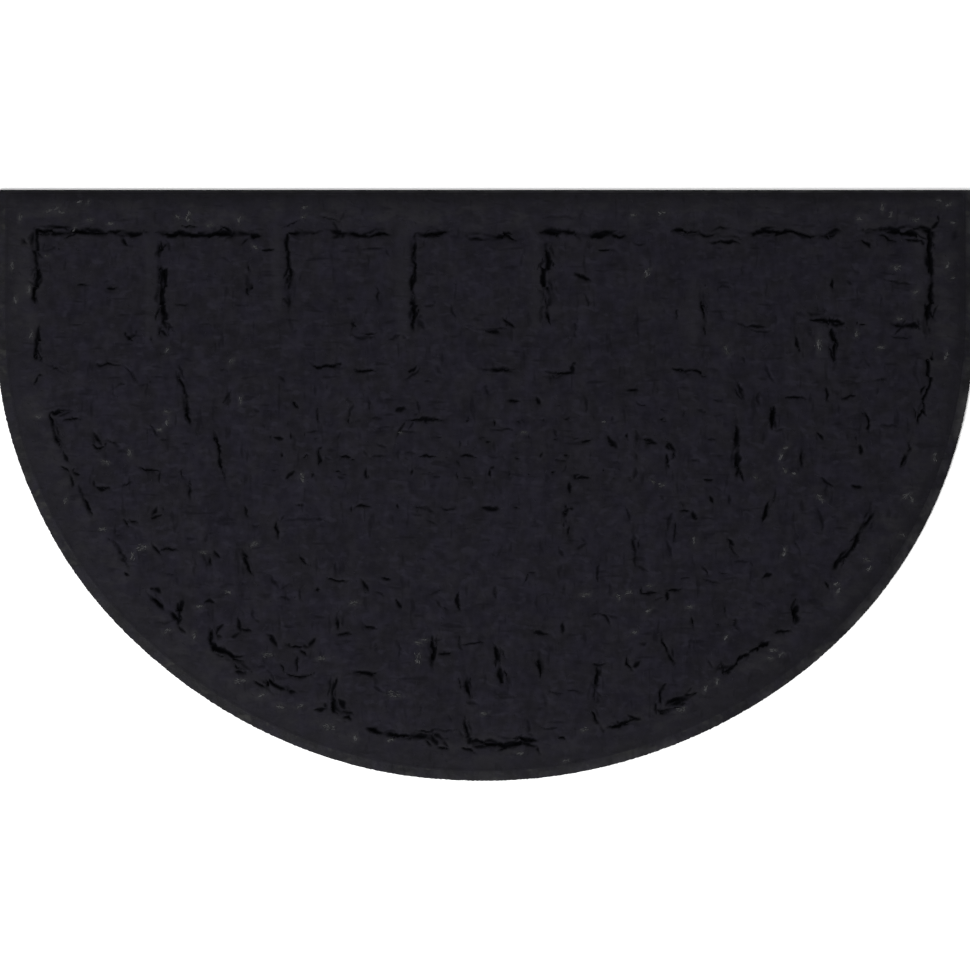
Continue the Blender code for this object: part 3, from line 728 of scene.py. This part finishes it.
def sunk_at(points, inside):
    """How deep the felt is sunk at every point, by the solid's joints and by the cracks here."""
    depths = np.zeros(len(points))
    read_from = points[:, :2].copy()
    for number, (x, y, z) in enumerate(points):
        if inside[number] < JOINTS_INSET:
            continue
        near_x, near_y = shifted(x, y, JOINT_RAGGED, 1.3)
        read_from[number] = near_x, near_y
        opened = OPEN_LEVEL + OPEN_SWING * plan_noise(x, y, OPEN_LUMP, 21.0)
        open_share = min(OPEN_SPAN[1], max(OPEN_SPAN[0], opened))
        strand = STRAND_SHARE * max(0.0, plan_noise(x, y, OPEN_LUMP, 33.0) + STRAND_LEVEL)
        depths[number] = open_share * joint_depth(*broken(near_x, near_y, 3.5))
        if strand > 0:
            far_x, far_y = shifted(x, y, STRAND_RAGGED, 40.7)
            depths[number] = max(depths[number], strand * joint_depth(*broken(far_x, far_y, 9.5)))
    for crack in CRACKS:
        half_length = crack.length * CRACK_LENGTH_SHARE / 2 * MM
        half_width = crack.width * CRACK_WIDTH_SHARE / 2 * MM
        reach = half_length + half_width + abs(crack.bow) * MM
        offset = read_from - np.array((crack.x, crack.y)) * MM
        close = np.flatnonzero(np.abs(offset).max(axis=1) < reach)
        along, across = turned(offset[close], crack.heading)
        taper = 1 - np.abs(along / half_length) ** CRACK_POINT
        profile = taper - np.abs((across - crack.bow * MM * taper) / half_width) ** CRACK_SIDE
        dip = crack.depth * MM * np.clip(CRACK_GAIN * profile, 0, 1)
        depths[close] = np.maximum(depths[close], dip)
    return depths


# Near a joint the grid of points is made finer, twice, so that its ragged lips have a shape.
near = tree_of(trials[sunk_at(trials, inside) > SHALLOWEST_JOINT])
for cell in (CARPET_CELL, CARPET_CELL / 2):
    middles = rows_of(carpet.data.polygons, "center")
    choose(carpet, "FACE", [near.find(middle)[2] < cell * REFINE_REACH for middle in middles])
    bpy.ops.mesh.subdivide(number_cuts=1)
    go_to("OBJECT")

# The felt swells between its joints, with soft lumps, and both fade out towards its edge.
DEEP_JOINT = 1.2 * MM
SWELL_REACH = 7 * MM
SWELL_FALL = 0.45 * MM
SWELL_INSET = 8 * MM
Lumps = namedtuple("Lumps", "size height layer")
FELT_LUMPS = (
    Lumps(34 * MM, 0.30 * MM, 51.0),
    Lumps(13 * MM, 0.32 * MM, 57.0),
    Lumps(6 * MM, 0.16 * MM, 63.0),
)
sheet_points = places(carpet)
inside, foot = to_edge(sheet_points)
sunk = sunk_at(sheet_points, inside)
near = tree_of(sheet_points[sunk > DEEP_JOINT])
from_joint = np.array([near.find((x, y, 0))[2] for x, y, z in sheet_points])
shoulder = np.interp(
    inside, [step.inset for step in CARPET_SHOULDER], [step.height for step in CARPET_SHOULDER]
)
lumps = np.array(
    [sum(l.height * plan_noise(x, y, l.size, l.layer) for l in FELT_LUMPS) for x, y, z in sheet_points]
)
inner = np.clip(inside / SWELL_INSET, 0, 1)
swell = -SWELL_FALL * np.exp(-from_joint / SWELL_REACH)

# Beside a deep joint the felt is pushed up into an uneven lip.
LIP_RISE = 0.45 * MM
LIP_OFF = 2.6 * MM
LIP_WIDTH = 1.5 * MM
LIP_LUMP = 9 * MM
LIP_LEVEL = 0.4
LIP_SWING = 1.5
uneven = np.array([plan_noise(x, y, LIP_LUMP, 67.0) for x, y, z in sheet_points])
uneven = np.clip(LIP_LEVEL + LIP_SWING * uneven, 0, 1)
lip = LIP_RISE * np.exp(-(((from_joint - LIP_OFF) / LIP_WIDTH) ** 2)) * uneven

# A strip of mortar stands a little proud to the left of each cross joint of the row, and is painted paler,
# partly its own tone and partly a painted highlight.
Mortar = namedtuple("Mortar", "joint_x top foot")
ROW_MORTAR = (
    Mortar(-349, 197, 141),
    Mortar(-251, 192, 117),
    Mortar(-153, 197, 134),
    Mortar(-55, 197, 116),
    Mortar(48, 190, 125),
    Mortar(170, 158, 115),
    Mortar(270, 122, 90),
    Mortar(345, 197, 115),
)
MORTAR_WIDTH = 11 * MM
MORTAR_OFF_JOINT = 8.5 * MM
MORTAR_RISE = 0.3 * MM
MORTAR_TAPER = 8 * MM
MORTAR_SIDE = 1.6
mortar = np.zeros(len(sheet_points))
for strip in ROW_MORTAR:
    off = np.abs(sheet_points[:, 0] - strip.joint_x * MM + MORTAR_OFF_JOINT) / (MORTAR_WIDTH / 2)
    middle = (strip.top + strip.foot) / 2 * MM
    half = (strip.top - strip.foot) / 2 * MM
    past = np.maximum(np.abs(sheet_points[:, 1] - middle) - half, 0) / MORTAR_TAPER
    across = np.clip(MORTAR_SIDE - MORTAR_SIDE * off**2, 0, 1)
    mortar = np.maximum(mortar, across * np.clip(1 - past, 0, 1))
mortar *= np.clip(1 - sunk / MM, 0, 1)
sheet_points[:, 2] = shoulder - sunk + inner * (lumps + swell + lip + MORTAR_RISE * mortar)
carpet.data.vertices.foreach_set("co", sheet_points.ravel())

# What the felt's material reads from the sheet, each from 0 to 1: how deep it is sunk, which paints
# the joints and cracks near black as painted shade, where the mortar stands, the strip along the
# border, the edge next to the rubber, and a greyer tint by the joints.
SUNK_FROM = 0.15 * MM
SUNK_SPAN = 1.30 * MM
BORDER_INSET = 14 * MM
BORDER_WIDTH = 12 * MM
EDGE_WIDTH = 16 * MM
JOINT_TINT_REACH = 4 * MM
for name, values in (
    ("sunk", np.clip((sunk - SUNK_FROM) / SUNK_SPAN, 0, 1)),
    ("mortar", mortar),
    ("border", np.clip(1.5 - np.abs(inside - BORDER_INSET) / BORDER_WIDTH, 0, 1)),
    ("edge", np.clip(1 - inside / EDGE_WIDTH, 0, 1)),
    ("grit", np.exp(-from_joint / JOINT_TINT_REACH)),
):
    give_own(carpet, name, values)

# The pressed edge laps over the rubber's crest and dips into it, then turns down to the bed,
# and the underside closes the sheet.
Lap = namedtuple("Lap", "out over")
EDGE_LAPS = (Lap(1.3 * MM, 0.12 * MM), Lap(2.0 * MM, -0.35 * MM))
rubber_surface = surface_of(rubber)
edge_tree = tree_of(edge_points)
for lap in (*EDGE_LAPS, None):
    alone(carpet)
    go_to("EDIT")
    choose_open_edges()
    bpy.ops.mesh.extrude_region_move(TRANSFORM_OT_translate={"value": (0, 0, -MM)})
    grown = chosen_points(carpet)
    sheet_points = places(carpet)
    for number in np.flatnonzero(grown):
        x, y, z = sheet_points[number]
        if lap is None:
            sheet_points[number, 2] = CARPET_UNDERSIDE
        else:
            x, y = sheet_points[number, :2] + lap.out * edge_out[edge_tree.find((x, y, 0))[1]]
            sheet_points[number] = x, y, height_on(rubber_surface, x, y) + lap.over
    carpet.data.vertices.foreach_set("co", sheet_points.ravel())
go_to("EDIT")
bpy.ops.mesh.edge_face_add()
bpy.ops.mesh.select_all(action="SELECT")
bpy.ops.mesh.normals_make_consistent(inside=False)
go_to("OBJECT")
bpy.ops.object.shade_smooth_by_angle(angle=FELT_SMOOTH)

# The felt's colour is the face's own, then tinted where each attribute says, the last on top. The last,
# sunk, is painted shade: the joints and cracks are painted near black where light doesn't reach them.
felt, tree, shader = new_finish("needled_felt")
here = object_place(tree)
felt_shades = {
    "Vector": here,
    "Grey": (0.0079, 0.0074, 0.0097, 1),
    "Violet": (0.0078, 0.0072, 0.0109, 1),
    "Pale": (0.0128, 0.0120, 0.0172, 1),
    "Dark": (0.0026, 0.0024, 0.0036, 1),
    "Flecks": 0.55,
}
fibres = add_node(tree, "ShaderNodeGroup", felt_shades, node_tree=face)
colour = fibres.outputs["Color"]
smears = ranged(tree, noise_at(tree, here, 90.0, 3.0, 0.6, (0.5, 1.0, 1.0)), 0.45, 0.68, 0.0, 1.0)
wisps = ranged(tree, noise_at(tree, here, 420.0, 2.0, 0.6), 0.35, 0.65, 0.25, 1.0)
smeared = math_node(tree, "MULTIPLY", own(tree, "border"), smears)
dusty = math_node(tree, "MULTIPLY", own(tree, "tufted"), wisps)
for mask, most, shade in (
    # Mortar painted paler: partly its own tone, partly a painted highlight.
    (own(tree, "mortar"), 0.40, (0.0128, 0.0124, 0.0152, 1)),
    (own(tree, "border"), 0.18, (0.0125, 0.0121, 0.0150, 1)),
    (smeared, 0.50, (0.0156, 0.0152, 0.0168, 1)),
    (own(tree, "edge"), 0.50, RIM_GREY),
    # A greyer tint close to the joints.
    (own(tree, "grit"), 0.30, (0.0078, 0.0075, 0.0086, 1)),
    (dusty, 0.70, (0.0250, 0.0250, 0.0260, 1)),
    # Painted shade: near black in the sunk joints and cracks.
    (own(tree, "sunk"), 1.0, (0.0005, 0.0005, 0.0010, 1)),
):
    colour = mixed(tree, math_node(tree, "MULTIPLY", mask, most), colour, shade)
matted = noise_at(tree, here, 600.0)
height = math_node(tree, "ADD", fibres.outputs["Height"], math_node(tree, "MULTIPLY", matted, 0.3))
nap = {"Strength": 0.7, "Distance": 0.6 * MM, "Height": height}
felt_look = {
    "Base Color": colour,
    "Roughness": ranged(tree, matted, 0.3, 0.7, 0.86, 1.0),
    "Specular IOR Level": FELT_SPECULAR,
    "Normal": add_node(tree, "ShaderNodeBump", nap).outputs["Normal"],
}
feed(tree, shader, felt_look)
carpet.data.materials.append(felt)
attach(carpet, "root")
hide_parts("carpet_face")


# Loose fibres
# The needles leave fibre ends standing out of the felt, and tufts of pale lint gather along the
# border and beside the joints. Each fibre is a short bent hair that lies on the felt. A tuft has
# its middle and its length in mm, and the way it is drawn out in degrees from +X.
Lint = namedtuple("Lint", "x y length heading")
LINT_ROWS = (
    (-361, 208, 6, 85), (-339, 213, 5, 20), (-333, 215, 4, 40), (-329, 212, 5, -10), (-315, 220, 4, 10),
    (-308, 220, 3, 80), (-307, 206, 4, -10), (-291, 203, 5, 0), (-239, 208, 5, -30), (-230, 209, 11, 88),
    (-214, 202, 4, 10), (-191, 206, 5, 85), (-141, 208, 3, 0), (-140, 216, 5, 20), (115, 210, 5, 10),
    (137, 211, 7, 0), (290, 207, 5, 0), (308, 216, 6, -80), (315, 210, 5, 60), (334, 206, 6, 10),
    (352, 221, 5, 0), (360, 218, 5, 20), (363, 204, 4, 0), (-340, 178, 3, 0), (-319, 199, 4, 60),
    (-179, 185, 4, -40), (-367, 171, 7, 85), (-354, 152, 7, 85), (126, 165, 9, 60), (319, 169, 9, -15),
    (359, 171, 5, 80), (362, 161, 5, 10), (-365, 144, 5, 88), (321, 129, 5, 0), (334, 150, 5, 30),
    (-352, 117, 6, 80), (-247, 105, 5, 60), (187, 105, 9, -55), (259, 109, 11, 88), (288, 117, 5, 70),
    (307, 107, 5, 0), (358, 101, 7, 80), (-197, 96, 5, 60), (-347, 53, 5, -10), (-247, 57, 4, 0),
    (-190, 66, 5, 88), (-253, 43, 4, 0), (-247, 49, 5, 80), (-66, 41, 3, 0), (30, 41, 3, 0),
    (92, 49, 3, 0), (233, 29, 5, 30), (-295, 18, 9, -25), (-276, 25, 6, 85), (-142, 6, 8, -75),
    (130, 3, 5, -30), (210, 6, 4, -40), (229, 22, 5, 80), (232, 12, 6, -50), (239, 9, 5, 0),
    (349, 22, 8, 88), (-326, -12, 6, 85), (137, 0, 6, 10), (260, -10, 9, -25), (327, -8, 9, 30),
    (331, -11, 7, -45), (-297, -34, 7, 0), (-267, -49, 10, 20), (-180, -46, 9, 15), (162, -43, 6, 85),
    (324, -39, 7, -20), (-274, -55, 7, 80), (-219, -52, 5, 0), (232, -52, 9, 70), (296, -58, 6, -20),
    (298, -65, 5, 30), (-222, -94, 5, 0), (-200, -83, 5, 0), (-102, -91, 7, 0), (78, -85, 7, 0),
    (103, -87, 5, -40), (111, -83, 6, 10), (127, -78, 3, 0), (127, -97, 5, 40), (159, -95, 6, -10),
    (273, -77, 6, 10), (274, -82, 5, 60), (-247, -113, 7, 20), (-226, -117, 5, 80), (-52, -122, 7, -15),
    (-47, -120, 5, 0), (116, -114, 5, 30), (187, -118, 5, 60), (-169, -132, 9, 0), (-127, -134, 6, 0),
    (-52, -134, 11, 85), (221, -134, 5, 0), (224, -128, 8, 0), (230, -131, 6, 20), (-191, -152, 11, 5),
    (-174, -163, 6, 30), (-159, -172, 7, -10), (-144, -172, 6, 10), (-71, -163, 13, -8), (152, -174, 9, 20),
    (171, -158, 5, 60), (180, -152, 5, 80), (-121, -188, 12, -10), (-101, -196, 5, 80), (-74, -198, 6, 10),
    (-1, -177, 5, 0), (77, -190, 6, 10), (-146, -201, 5, 30), (27, -208, 7, 0), (43, -222, 4, 0),
    (63, -214, 6, 20),
)
LINT = [Lint(*row) for row in LINT_ROWS]
LINT_SHADES = ((0.012, 0.012, 0.014, 1), (0.060, 0.060, 0.062, 1))
HAIR_SHADES = ((0.008, 0.008, 0.0105, 1), (0.022, 0.0215, 0.0265, 1))
HAIR_COUNT = 5200
HAIR_SEED = 11
HAIR_INSET = 3 * MM
HAIR_DEEPEST = 1 * MM
FIBRE_BEND = math.radians(45)
FIBRE_LIFT = 0.12 * MM
FIBRE_ROLL = 0.25
FIBRE_TILT = 0.08
HAIR_SIZES = (0.5, 1.5)
LINT_SIZES = (0.5, 1.2)
TUFT_LEAST = 5
TUFT_FIBRES_PER_MM = 2
TUFT_SPREAD = 0.35
TUFT_WIDTH = 0.10
TUFT_SLANT = 0.35
TUFT_INSET = 1 * MM
Laid = namedtuple("Laid", "place turn size tone")
felt_surface = surface_of(carpet)


def laid_fibre(dice, x, y, heading, size):
    """One fibre lying on the felt at x and y, turned close to heading."""
    place = (x, y, height_on(felt_surface, x, y) + FIBRE_LIFT)
    turn = (dice.gauss(0, FIBRE_ROLL), dice.gauss(0, FIBRE_TILT), heading)
    return Laid(place, turn, size, dice.random())


def hair_spots(dice):
    """Fibre ends at random over the felt, away from its edge and out of its joints."""
    spots = []
    while len(spots) < HAIR_COUNT:
        tries = [
            (dice.uniform(carpet_low.x, carpet_high.x), dice.uniform(carpet_low.y, carpet_high.y))
            for number in range(HAIR_COUNT)
        ]
        for (x, y), inset in zip(tries, to_edge(np.array(tries))[0]):
            if inset > HAIR_INSET and joint_depth(x, y) < HAIR_DEEPEST and len(spots) < HAIR_COUNT:
                heading = dice.uniform(0, 2 * math.pi)
                spots.append(laid_fibre(dice, x, y, heading, dice.uniform(*HAIR_SIZES)))
    return spots


def lint_spots(dice):
    """Small tufts of pale fibres, each drawn out along its heading."""
    spots = []
    for tuft in LINT:
        turn = math.radians(tuft.heading)
        for number in range(TUFT_LEAST + TUFT_FIBRES_PER_MM * tuft.length):
            along = dice.uniform(-TUFT_SPREAD, TUFT_SPREAD) * tuft.length * MM
            across = dice.gauss(0, TUFT_WIDTH) * tuft.length * MM
            x = tuft.x * MM + along * math.cos(turn) - across * math.sin(turn)
            y = tuft.y * MM + along * math.sin(turn) + across * math.cos(turn)
            if to_edge(np.array([(x, y)]))[0][0] > TUFT_INSET:
                heading = turn + dice.gauss(0, TUFT_SLANT)
                spots.append(laid_fibre(dice, x, y, heading, dice.uniform(*LINT_SIZES)))
    return spots


def laid_group(name, hair):
    """A geometry node group that puts a hair at each point of a mesh and makes them one mesh."""
    group = bpy.data.node_groups.new(name, "GeometryNodeTree")
    for way in ("INPUT", "OUTPUT"):
        group.interface.new_socket("Geometry", in_out=way, socket_type="NodeSocketGeometry")
    turn, size = [
        add_node(group, "GeometryNodeInputNamedAttribute", {"Name": field}, data_type=kind)
        for field, kind in (("turn", "FLOAT_VECTOR"), ("size", "FLOAT"))
    ]
    euler = {"Euler": turn.outputs["Attribute"]}
    on_points = {
        "Points": add_node(group, "NodeGroupInput").outputs["Geometry"],
        "Instance": add_node(group, "GeometryNodeObjectInfo", {"Object": hair}).outputs["Geometry"],
        "Rotation": add_node(group, "FunctionNodeEulerToRotation", euler).outputs["Rotation"],
        "Scale": size.outputs["Attribute"],
    }
    laid = {"Geometry": add_node(group, "GeometryNodeInstanceOnPoints", on_points).outputs["Instances"]}
    real = {"Geometry": add_node(group, "GeometryNodeRealizeInstances", laid).outputs["Geometry"]}
    add_node(group, "NodeGroupOutput", real)
    return group


hair_dice = random.Random(HAIR_SEED)
for name, spots, thickness, fibre_length, shades in (
    ("felt_hairs", hair_spots(hair_dice), 0.07 * MM, 2.4 * MM, HAIR_SHADES),
    ("pale_lint", lint_spots(hair_dice), 0.26 * MM, 2.3 * MM, LINT_SHADES),
):
    bpy.ops.object.select_all(action="DESELECT")
    bpy.ops.mesh.primitive_cylinder_add(
        vertices=3, radius=thickness, depth=fibre_length, rotation=(0, math.radians(90), 0)
    )
    hair = bpy.context.object
    bpy.ops.object.transform_apply(location=False, rotation=True, scale=False)
    one, two = edge_ends(hair)
    split(hair, np.linalg.norm(two - one, axis=1) > fibre_length / 2, 2)
    bend = hair.modifiers.new("bend", "SIMPLE_DEFORM")
    bend.deform_method = "BEND"
    bend.deform_axis = "Z"
    bend.angle = FIBRE_BEND
    bpy.ops.object.modifier_apply(modifier="bend")
    spot_mesh = bpy.data.meshes.new(name)
    spot_mesh.from_pydata([spot.place for spot in spots], [], [])
    turns = np.array([spot.turn for spot in spots], np.float32).ravel()
    spot_mesh.attributes.new("turn", "FLOAT_VECTOR", "POINT").data.foreach_set("vector", turns)
    piece = new_object(name, spot_mesh)
    give_own(piece, "size", np.array([spot.size for spot in spots]))
    give_own(piece, "tone", np.array([spot.tone for spot in spots]))
    alone(piece)
    scatter = piece.modifiers.new("laid", "NODES")
    scatter.node_group = laid_group(name + "_laid", hair)
    bpy.ops.object.modifier_apply(modifier="laid")
    bpy.data.objects.remove(hair)
    fibre_finish, tree, shader = new_finish(name)
    rough = noise_at(tree, object_place(tree), 900.0)
    fibre_look = {
        "Base Color": mixed(tree, own(tree, "tone"), *shades),
        "Roughness": ranged(tree, rough, 0.3, 0.7, 0.8, 1.0),
        "Specular IOR Level": FELT_SPECULAR,
    }
    feed(tree, shader, fibre_look)
    piece.data.materials.clear()
    piece.data.materials.append(fibre_finish)
    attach(piece, "root")

# Round each tuft the felt itself is dusty, and the felt's own material reads that.
DUSTY_ENDS = 1.2 * MM
DUSTY_SIDES = 1.56 * MM
carpet_points = places(carpet)[:, :2]
tufted = np.zeros(len(carpet_points))
for tuft in LINT:
    along, across = turned(carpet_points - np.array((tuft.x, tuft.y)) * MM, tuft.heading)
    spread = (along / (DUSTY_ENDS + 0.5 * tuft.length * MM)) ** 2 + (across / DUSTY_SIDES) ** 2
    tufted = np.maximum(tufted, np.exp(-spread))
give_own(carpet, "tufted", tufted)


# Floor, light and camera
# A plain white floor under soft studio light, stronger from the lower left, and a long lens
# straight above the mat, as in the photograph.
FLOOR_SIDE = 8
PAPER_LOOK = {
    "Base Color": (0.97, 0.97, 0.97, 1),
    "Roughness": 0.9,
    "Specular IOR Level": 0.1,
}
bpy.ops.object.select_all(action="DESELECT")
bpy.ops.mesh.primitive_plane_add(size=FLOOR_SIDE, location=(0, 0, 0))
floor = bpy.context.object
floor.name = "floor"
paper, tree, shader = new_finish("white_paper")
feed(tree, shader, PAPER_LOOK)
floor.data.materials.append(paper)

# The whole photograph is 971 rows high, each 0.7783 mm at the height of the mat's trimmed edge.
SHOWN_HEIGHT = 971 * 0.7783 * MM
TRIMMED_EDGE_TOP = 1.9 * MM
LENS = 100.0
SENSOR = 36.0
CAMERA_X = -0.3 * MM
CAMERA_Y = -0.1 * MM
camera_data = bpy.data.cameras.new("camera")
camera_data.lens = LENS
camera_data.sensor_width = SENSOR
camera = new_object("camera", camera_data)
camera.location = (CAMERA_X, CAMERA_Y, TRIMMED_EDGE_TOP + SHOWN_HEIGHT * LENS / SENSOR)
bpy.context.scene.camera = camera

Lamp = namedtuple("Lamp", "name size power place")
LAMPS = (
    Lamp("key_lamp", 1.0, 50.0, (-0.95, -1.14, 1.27)),
    Lamp("fill_lamp", 1.6, 15.0, (0.4, 0.9, 1.8)),
)
for lamp in LAMPS:
    light_data = bpy.data.lights.new(lamp.name, "AREA")
    light_data.shape = "DISK"
    light_data.size = lamp.size
    light_data.energy = lamp.power
    light = new_object(lamp.name, light_data)
    light.location = lamp.place
    light.rotation_euler = (-Vector(lamp.place)).to_track_quat("-Z", "Y").to_euler()

WORLD_LIGHT = {"Color": (1, 1, 1, 1), "Strength": 0.40}
world = bpy.data.worlds.new("studio")
world.use_nodes = True
feed(world.node_tree, world.node_tree.nodes["Background"], WORLD_LIGHT)
bpy.context.scene.world = world
bpy.context.scene.view_settings.view_transform = "Standard"
